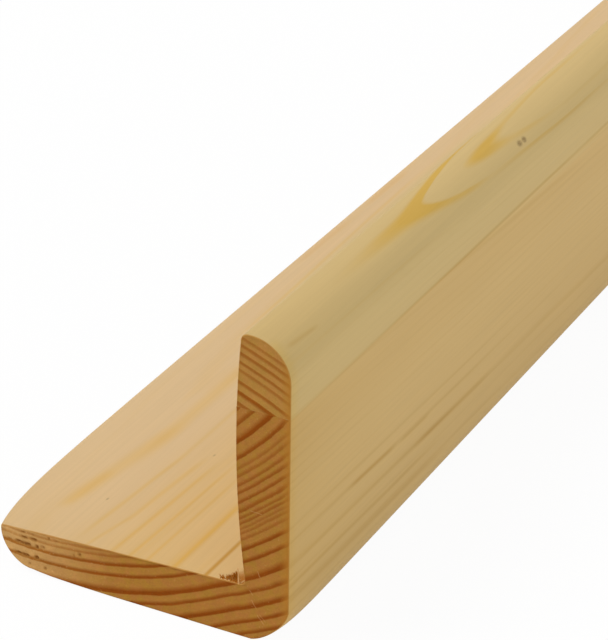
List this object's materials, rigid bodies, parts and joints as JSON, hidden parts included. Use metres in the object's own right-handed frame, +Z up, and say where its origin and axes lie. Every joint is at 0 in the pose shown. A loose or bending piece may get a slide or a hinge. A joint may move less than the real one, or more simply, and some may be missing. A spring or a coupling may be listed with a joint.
{
  "type": "angle moulding",
  "caption": "Planed pine angle moulding: a flat leg and an upright leg at a right angle, with a rounded heel and rounded tips, edge-glued from lamellae.",
  "frame": {"origin": "centre of the overall box, on the floor plane that the flat leg's underside lies on", "axes": "+Z up, +Y along the length away from the pictured end, +X towards the upright leg's outer face"},
  "size_m": [0.035, 1, 0.034],
  "materials": {
    "heel_pine": "planed, bare",
    "crest_pine": "planed, bare"
  },
  "bodies": {
    "root": {"heel_lamella": "heel_pine", "crest_lamella": "crest_pine"}
  },
  "joints": []
}
